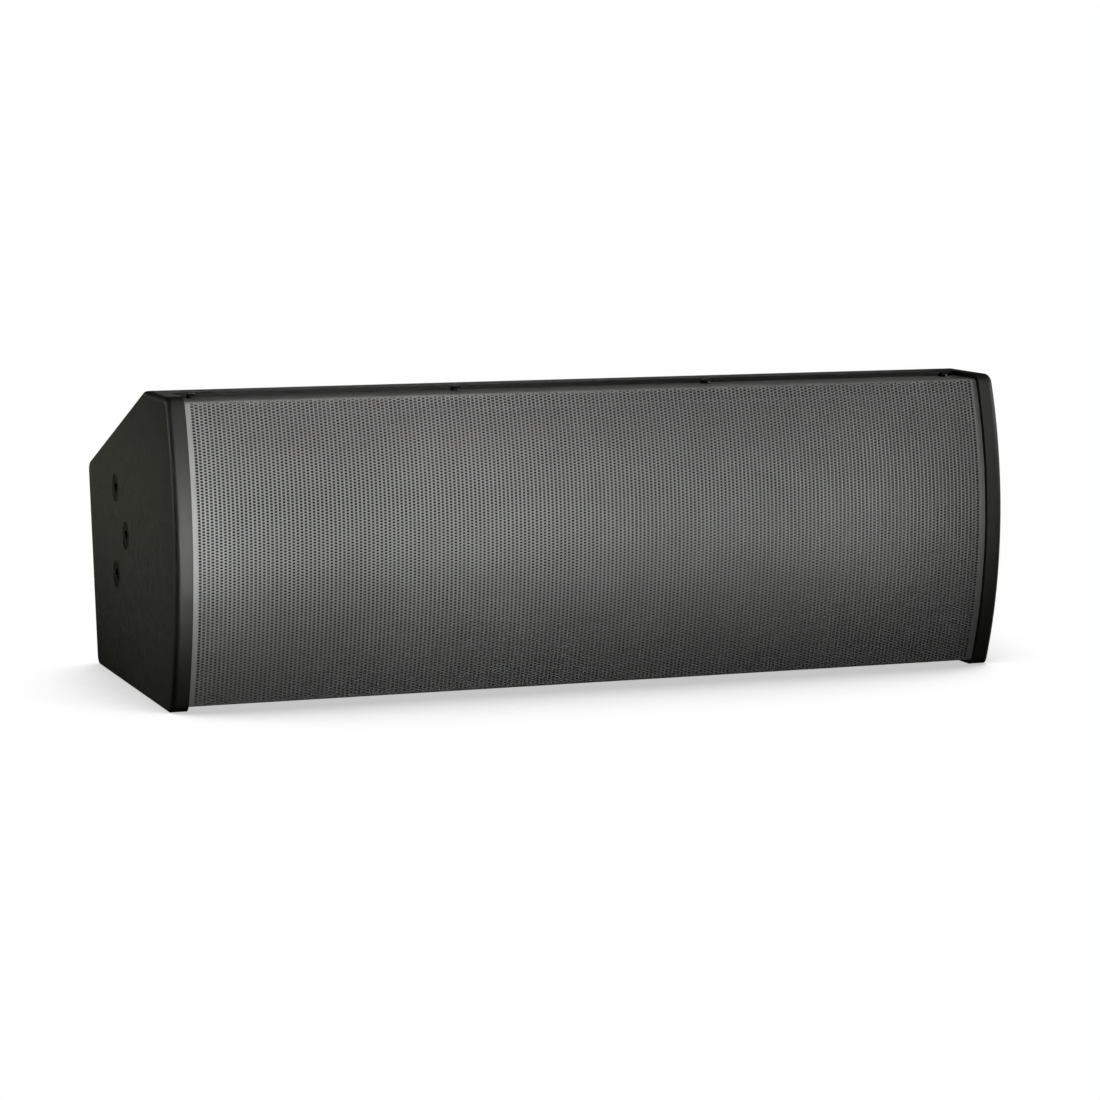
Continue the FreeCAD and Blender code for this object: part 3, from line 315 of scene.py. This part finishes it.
def wadding_path():
    """Path under the slope, round the corner and down the rear panel, and its length."""
    a, b, c = (Vector(p) for p in WADDING_LINE)
    into, out = (b - a).normalized(), (c - b).normalized()
    turn = into.angle(out)
    trim = WADDING_BEND_R * math.tan(turn / 2)
    run_in, run_out = (b - a).length - trim, (c - b).length - trim
    arc = WADDING_BEND_R * turn
    start = b - into * trim
    centre = start + Vector((into.y, -into.x)) * WADDING_BEND_R

    def path(s):
        if s <= run_in:
            point, heading = a + into * s, into
        elif s <= run_in + arc:
            angle = (s - run_in) / WADDING_BEND_R
            heading = Vector((into.x * math.cos(angle) + into.y * math.sin(angle),
                              into.y * math.cos(angle) - into.x * math.sin(angle)))
            point = centre + Vector((-heading.y, heading.x)) * WADDING_BEND_R
        else:
            point, heading = b + out * (trim + s - run_in - arc), out
        return point.x, point.y, heading.y, -heading.x

    return path, run_in + arc + run_out


pads = {}
path, path_length = wadding_path()
for side, seed in (("left", 11.0), ("right", 23.0)):
    low, high = low_high("wadding_" + side)
    pads[side] = soft_sheet("wadding_pad_" + side, path, path_length, low.x, high.x,
                            WADDING_HALF, lump=5.0 * MM, lump_size=0.030, step=0.007, seed=seed)


# ---- finishes -------------------------------------------------------------------------------
PATTERN_RANGE = (0.3, 0.7)    # of a pattern's value, which becomes the whole range of the result


def map_range(tree, value, from_min, from_max, to_min, to_max):
    """The socket value, from one range to another, in a node tree."""
    node = tree.nodes.new("ShaderNodeMapRange")
    tree.links.new(value, node.inputs["Value"])
    for key, number in (("From Min", from_min), ("From Max", from_max),
                        ("To Min", to_min), ("To Max", to_max)):
        node.inputs[key].default_value = number
    return node.outputs["Result"]


class Finish:
    """A node material in object coordinates, with helpers for patterns, mixes and bump."""

    def __init__(self, slot):
        self.material = bpy.data.materials.new("finish_" + slot)
        self.material.use_nodes = True
        self.tree = self.material.node_tree
        self.shader = self.tree.nodes["Principled BSDF"]
        self.coords = self.tree.nodes.new("ShaderNodeTexCoord").outputs["Object"]
        self.normal = None

    def add(self, kind, **values):
        node = self.tree.nodes.new(kind)
        for key, value in values.items():
            setattr(node, key, value)
        return node

    def link(self, a, b):
        self.tree.links.new(a, b)

    def stretched(self, scale):
        node = self.add("ShaderNodeMapping")
        self.link(self.coords, node.inputs["Vector"])
        node.inputs["Scale"].default_value = scale
        return node.outputs["Vector"]

    def noise(self, scale, detail=3.0, vector=None, rough=0.55):
        node = self.add("ShaderNodeTexNoise")
        self.link(vector or self.coords, node.inputs["Vector"])
        node.inputs["Scale"].default_value = scale
        node.inputs["Detail"].default_value = detail
        node.inputs["Roughness"].default_value = rough
        return node.outputs["Fac"]

    def cells(self, scale, feature="F1"):
        node = self.add("ShaderNodeTexVoronoi", feature=feature)
        self.link(self.coords, node.inputs["Vector"])
        node.inputs["Scale"].default_value = scale
        return node.outputs["Distance"]

    def wave(self, scale, direction, distortion=0.0, detail=0.0):
        node = self.add("ShaderNodeTexWave", bands_direction=direction)
        self.link(self.coords, node.inputs["Vector"])
        node.inputs["Scale"].default_value = scale
        node.inputs["Distortion"].default_value = distortion
        node.inputs["Detail"].default_value = detail
        return node.outputs["Fac"]

    def colour(self, value, dark, light, at=PATTERN_RANGE):
        """Base colour from dark to light by a pattern's value."""
        node = self.add("ShaderNodeValToRGB")
        self.link(value, node.inputs["Fac"])
        for element, position, rgb in zip(node.color_ramp.elements, at, (dark, light)):
            element.position = position
            element.color = (*rgb, 1.0)
        self.link(node.outputs["Color"], self.shader.inputs["Base Color"])

    def roughness(self, value, low, high):
        result = map_range(self.tree, value, *PATTERN_RANGE, low, high)
        self.link(result, self.shader.inputs["Roughness"])

    def bump(self, value, depth):
        node = self.add("ShaderNodeBump")
        node.inputs["Distance"].default_value = depth
        self.link(value, node.inputs["Height"])
        if self.normal:
            self.link(self.normal, node.inputs["Normal"])
        self.normal = node.outputs["Normal"]
        self.link(self.normal, self.shader.inputs["Normal"])

    def set(self, **values):
        for key, value in values.items():
            self.shader.inputs[key.replace("_", " ")].default_value = value


def shade(rgb, factor):
    return tuple(c * factor for c in rgb)


def plain(slot, rgb, low, high, metal=0.0, grain=900.0, depth=0.00003):
    """Moulded, painted or machined surface: patchy colour and roughness over a fine grain."""
    f = Finish(slot)
    f.colour(f.noise(60.0), shade(rgb, 0.88), shade(rgb, 1.12))
    f.roughness(f.noise(186.0, 4.0), low, high)
    f.bump(f.noise(grain, 2.0), depth)
    f.set(Metallic=metal)
    return f


def cabinet_paint():
    """Textured satin paint: fine orange peel, slightly uneven gloss, dust in the low spots."""
    f = Finish("cabinet_paint")
    rgb = (0.0185, 0.0180, 0.0150)
    f.colour(f.noise(18.0, 5.0), shade(rgb, 0.90), shade(rgb, 1.12))
    f.roughness(f.noise(140.0, 4.0), 0.44, 0.56)
    f.bump(f.noise(1100.0, 2.0), 0.00005)
    f.bump(f.cells(520.0), 0.00004)
    return f


def grille_steel():
    """Grey powder coat on perforated steel."""
    f = Finish("grille_steel")
    rgb = (0.33, 0.33, 0.322)
    f.colour(f.noise(35.0, 4.0), shade(rgb, 0.95), shade(rgb, 1.05))
    f.roughness(f.noise(260.0, 3.0), 0.40, 0.52)
    f.bump(f.noise(2200.0, 2.0), 0.00002)
    return f


def plywood():
    """Birch plywood stained black: long grain along X with open pores."""
    f = Finish("black_plywood")
    along = f.stretched((4.0, 60.0, 60.0))
    f.colour(f.noise(6.0, 6.0, along), (0.010, 0.009, 0.008), (0.034, 0.029, 0.024))
    f.roughness(f.noise(9.0, 4.0, along), 0.62, 0.82)
    f.bump(f.noise(26.0, 3.0, along), 0.00012)
    return f


def wadding():
    """Polyester wadding: a mat of crossed fibres."""
    f = Finish("wadding")
    f.colour(f.noise(90.0, 8.0, rough=0.7), (0.30, 0.30, 0.29), (0.62, 0.61, 0.58))
    f.roughness(f.noise(200.0), 0.92, 1.0)
    f.bump(f.noise(420.0, 8.0, rough=0.8), 0.0012)
    f.set(Sheen_Weight=0.3)
    return f


def acoustic_foam():
    """Open-cell foam, dark grey; each cell is darker in its middle, where the bump is lowest, partly
    the open pore and partly painted shade.
    """
    f = Finish("acoustic_foam")
    # colour darkens towards each cell's middle, in the bump's hollows: partly the open pores, partly
    # painted shade
    f.colour(f.cells(1200.0), (0.006, 0.006, 0.006), (0.020, 0.020, 0.019), at=(0.15, 0.75))
    f.roughness(f.noise(300.0), 0.9, 1.0)
    f.bump(f.cells(1200.0), 0.0005)
    return f


def spider_cloth():
    """Resin-stiffened cotton cloth in a plain weave; its colour is darker in the gaps between
    threads, partly the open weave and partly painted shade.
    """
    f = Finish("spider_cloth")
    warp, weft = f.wave(420.0, "X"), f.wave(420.0, "Z")
    weave = f.add("ShaderNodeMath", operation="MAXIMUM")
    f.link(warp, weave.inputs[0])
    f.link(weft, weave.inputs[1])
    # colour darkens where both threads dip: partly the open gaps of the weave, partly painted shade
    f.colour(weave.outputs[0], (0.24, 0.13, 0.04), (0.52, 0.33, 0.13), at=(0.2, 0.9))
    f.roughness(f.noise(150.0), 0.7, 0.9)
    f.bump(weave.outputs[0], 0.00025)
    return f


def cone_paper():
    """Pressed paper pulp with long fibres, dyed black."""
    f = Finish("cone_paper")
    fibres = f.noise(240.0, 8.0, f.stretched((1.0, 1.0, 0.35)), 0.75)
    f.colour(fibres, (0.012, 0.012, 0.012), (0.045, 0.044, 0.042))
    f.roughness(fibres, 0.72, 0.92)
    f.bump(fibres, 0.00025)
    return f


def copper():
    """Enamelled copper wire, wound turn on turn; its colour is darker in the grooves between turns,
    which is painted shade.
    """
    f = Finish("copper")
    turns_and_groove_shade = f.wave(900.0, "Y", 0.4, 1.0)
    # painted shade: the wire's colour darkens in the grooves between turns, where the bump is low
    f.colour(turns_and_groove_shade, (0.32, 0.09, 0.03), (0.78, 0.33, 0.15), at=(0.1, 0.9))
    f.roughness(f.noise(120.0), 0.22, 0.38)
    f.bump(turns_and_groove_shade, 0.00015)
    f.set(Metallic=0.9)
    return f


def circuit_board():
    """Solder mask over copper areas."""
    f = Finish("circuit_board")
    f.colour(f.cells(70.0, "DISTANCE_TO_EDGE"), (0.010, 0.060, 0.022), (0.018, 0.110, 0.040),
             at=(0.02, 0.06))
    f.roughness(f.noise(200.0), 0.28, 0.42)
    f.bump(f.cells(70.0, "DISTANCE_TO_EDGE"), 0.00004)
    return f


FINISHES = {
    "cabinet_paint": cabinet_paint(),
    "grille_steel": grille_steel(),
    "black_plywood": plywood(),
    "wadding": wadding(),
    "acoustic_foam": acoustic_foam(),
    "spider_cloth": spider_cloth(),
    "cone_paper": cone_paper(),
    "copper": copper(),
    "circuit_board": circuit_board(),
    "black_screw": plain("black_screw", (0.022, 0.022, 0.023), 0.26, 0.42, metal=0.55, grain=1600.0),
    "zinc_screw": plain("zinc_screw", (0.55, 0.54, 0.50), 0.28, 0.44, metal=1.0),
    "blackened_steel": plain("blackened_steel", (0.006, 0.006, 0.006), 0.30, 0.42, grain=700.0),
    "cast_frame": plain("cast_frame", (0.045, 0.045, 0.048), 0.45, 0.62, metal=0.2, grain=500.0,
                        depth=0.00012),
    "gasket_foam": plain("gasket_foam", (0.016, 0.016, 0.016), 0.88, 0.98, grain=1400.0,
                         depth=0.0004),
    "surround_rubber": plain("surround_rubber", (0.012, 0.012, 0.012), 0.5, 0.66, grain=1200.0),
    "plated_steel": plain("plated_steel", (0.48, 0.45, 0.36), 0.25, 0.4, metal=1.0),
    "ferrite": plain("ferrite", (0.055, 0.055, 0.058), 0.55, 0.75, grain=350.0, depth=0.00015),
    "terminal_plastic": plain("terminal_plastic", (0.03, 0.03, 0.03), 0.45, 0.6),
    "horn_plastic": plain("horn_plastic", (0.020, 0.020, 0.020), 0.42, 0.58, grain=1500.0),
    "plug_plastic": plain("plug_plastic", (0.028, 0.028, 0.03), 0.35, 0.5),
    "diaphragm_metal": plain("diaphragm_metal", (0.46, 0.44, 0.42), 0.3, 0.46, metal=1.0),
    "suspension_film": plain("suspension_film", (0.42, 0.25, 0.07), 0.3, 0.45),
    "capacitor_film": plain("capacitor_film", (0.50, 0.36, 0.06), 0.32, 0.46),
    "resistor_ceramic": plain("resistor_ceramic", (0.62, 0.60, 0.54), 0.7, 0.88, grain=600.0,
                              depth=0.0001),
    "black_plate": plain("black_plate", (0.020, 0.020, 0.020), 0.40, 0.55, grain=1300.0,
                         depth=0.00006),
    "socket_plastic": plain("socket_plastic", (0.018, 0.018, 0.019), 0.34, 0.5, grain=1000.0),
}

for node in NODES.values():
    for holder in node.material_slots:
        holder.material = FINISHES[holder.material.name.split(".")[0]].material


def dress(piece, slot, *nodes):
    """Give a new piece its finish and its body, and hide the CAD nodes that it stands for."""
    piece.data.materials.clear()
    piece.data.materials.append(FINISHES[slot].material)
    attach(piece, "cabinet")
    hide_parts(*nodes)


for piece in grille_pieces:
    dress(piece, "grille_steel", "grille")
dress(foam, "acoustic_foam", "grille_foam")
for side, pad in pads.items():
    dress(pad, "wadding", "wadding_" + side)


# ---- camera, floor and light ----------------------------------------------------------------
def aimed(obj, place, target):
    obj.location = place
    obj.rotation_euler = (Vector(target) - Vector(place)).to_track_quat("-Z", "Y").to_euler()


CAMERA_PLACE = (-1.0171, -2.8306, 0.4908)
CAMERA_DOWN = 7.3427          # degrees below the horizon
CAMERA_TURN = 19.9003         # degrees from straight at the front to the right
camera_data = bpy.data.cameras.new("camera")
camera_data.lens = 110.42
camera_data.sensor_width = 36.0
camera_data.clip_start = 0.05
camera_data.clip_end = 60.0
camera = bpy.data.objects.new("camera", camera_data)
camera.location = CAMERA_PLACE
camera.rotation_euler = (math.radians(90 - CAMERA_DOWN), 0.0, math.radians(-CAMERA_TURN))
bpy.context.scene.collection.objects.link(camera)
bpy.context.scene.camera = camera

# Soft boxes: name, azimuth from the front to the right and elevation of the light seen from the
# point that it is aimed at, distance, that point's x and z, width, height, spread, watts.
LIGHTS = (
    ("key", -10.0, 6.0, 1.3, -0.20, 0.215, 0.4, 0.25, 20.0, 0.124),
    ("key_left", 14.0, -8.0, 1.3, -0.455, 0.205, 0.2, 0.2, 12.0, 0.098),
    ("key_middle", 12.0, -8.0, 1.3, 0.0, 0.197, 0.6, 0.15, 14.0, 0.138),
    ("right", 60.0, 20.0, 1.3, 0.1, 0.15, 1.2, 0.3, 40.0, 0.64),
    ("side_left", -130.0, 10.0, 1.3, -0.3, 0.125, 0.5, 0.25, 20.0, 0.13),
    ("backdrop", 165.0, 8.0, 2.4, 0.0, 0.2, 1.6, 0.4, 60.0, 0.24),
    ("fill", 0.0, -12.0, 2.6, 0.0, 0.15, 1.0, 1.0, 180.0, 4.3),
    ("top", 0.0, 70.0, 2.6, 0.0, 0.2, 1.0, 1.0, 180.0, 4.5),
    ("rear", 150.0, -15.0, 2.6, 0.0, 0.13, 2.6, 1.6, 180.0, 22.0),
    ("side_right", 110.0, -5.0, 2.6, 0.3, 0.13, 1.6, 1.6, 180.0, 9.0),
)
AIM_Y = -0.02
NEUTRAL = (1.0, 1.0, 1.0)
TINTS = {"side_left": (1.0, 0.99, 0.84)}
for name, azimuth, elevation, distance, x, z, width, height, spread, watts in LIGHTS:
    data = bpy.data.lights.new(name, "AREA")
    data.shape = "RECTANGLE"
    data.size, data.size_y, data.energy = width, height, watts
    data.spread = math.radians(spread)
    data.color = TINTS.get(name, NEUTRAL)
    light = bpy.data.objects.new(name, data)
    turn, rise = math.radians(azimuth), math.radians(elevation)
    level = math.cos(rise)
    away = Vector((math.sin(turn) * level, -math.cos(turn) * level, math.sin(rise)))
    target = Vector((x, AIM_Y, z))
    aimed(light, target + away * distance, target)
    bpy.context.scene.collection.objects.link(light)


def camera_switch(tree):
    """1 for what the camera sees directly and 0 for light that falls on the object."""
    return tree.nodes.new("ShaderNodeLightPath").outputs["Is Camera Ray"]


world = bpy.data.worlds.new("studio")
world.use_nodes = True
tree = world.node_tree
background = tree.nodes["Background"]
background.inputs["Color"].default_value = (1.0, 1.0, 1.0, 1.0)
tree.links.new(camera_switch(tree), background.inputs["Strength"])
bpy.context.scene.world = world
bpy.context.scene.view_settings.view_transform = "Standard"

# The floor that the camera sees is not lit by the lamps: it glows, and its contact shadow is painted
# from ambient occlusion.
FLOOR_HALF = 12.0
SHADE_REACH = 0.6             # how far from a wall the contact shadow reaches
OPEN_SKY = (0.45, 0.70)       # share of open sky in the darkest shadow, and where it ends
FLOOR_GLOW_RANGE = (0.55, 1.0)     # brightness of the floor at these two
floor_mesh = bpy.data.meshes.new("floor")
floor_mesh.from_pydata([(-FLOOR_HALF, -FLOOR_HALF, 0), (FLOOR_HALF, -FLOOR_HALF, 0),
                        (FLOOR_HALF, FLOOR_HALF, 0), (-FLOOR_HALF, FLOOR_HALF, 0)],
                       [], [(0, 1, 2, 3)])
floor = bpy.data.objects.new("floor", floor_mesh)
bpy.context.scene.collection.objects.link(floor)
floor_material = bpy.data.materials.new("floor_glow_painted_shadow")
floor_material.use_nodes = True
tree = floor_material.node_tree
tree.nodes.remove(tree.nodes["Principled BSDF"])
open_sky = tree.nodes.new("ShaderNodeAmbientOcclusion")
open_sky.inputs["Distance"].default_value = SHADE_REACH
# painted shadow: the floor's glow is weaker where ambient occlusion finds the object nearby
paper = tree.nodes.new("ShaderNodeEmission")
shadow = map_range(tree, open_sky.outputs["AO"], *OPEN_SKY, *FLOOR_GLOW_RANGE)
tree.links.new(shadow, paper.inputs["Strength"])
unseen = tree.nodes.new("ShaderNodeBsdfTransparent")
mix = tree.nodes.new("ShaderNodeMixShader")
tree.links.new(camera_switch(tree), mix.inputs["Fac"])
tree.links.new(unseen.outputs["BSDF"], mix.inputs[1])
tree.links.new(paper.outputs["Emission"], mix.inputs[2])
tree.links.new(mix.outputs["Shader"], tree.nodes["Material Output"].inputs["Surface"])
floor_mesh.materials.append(floor_material)
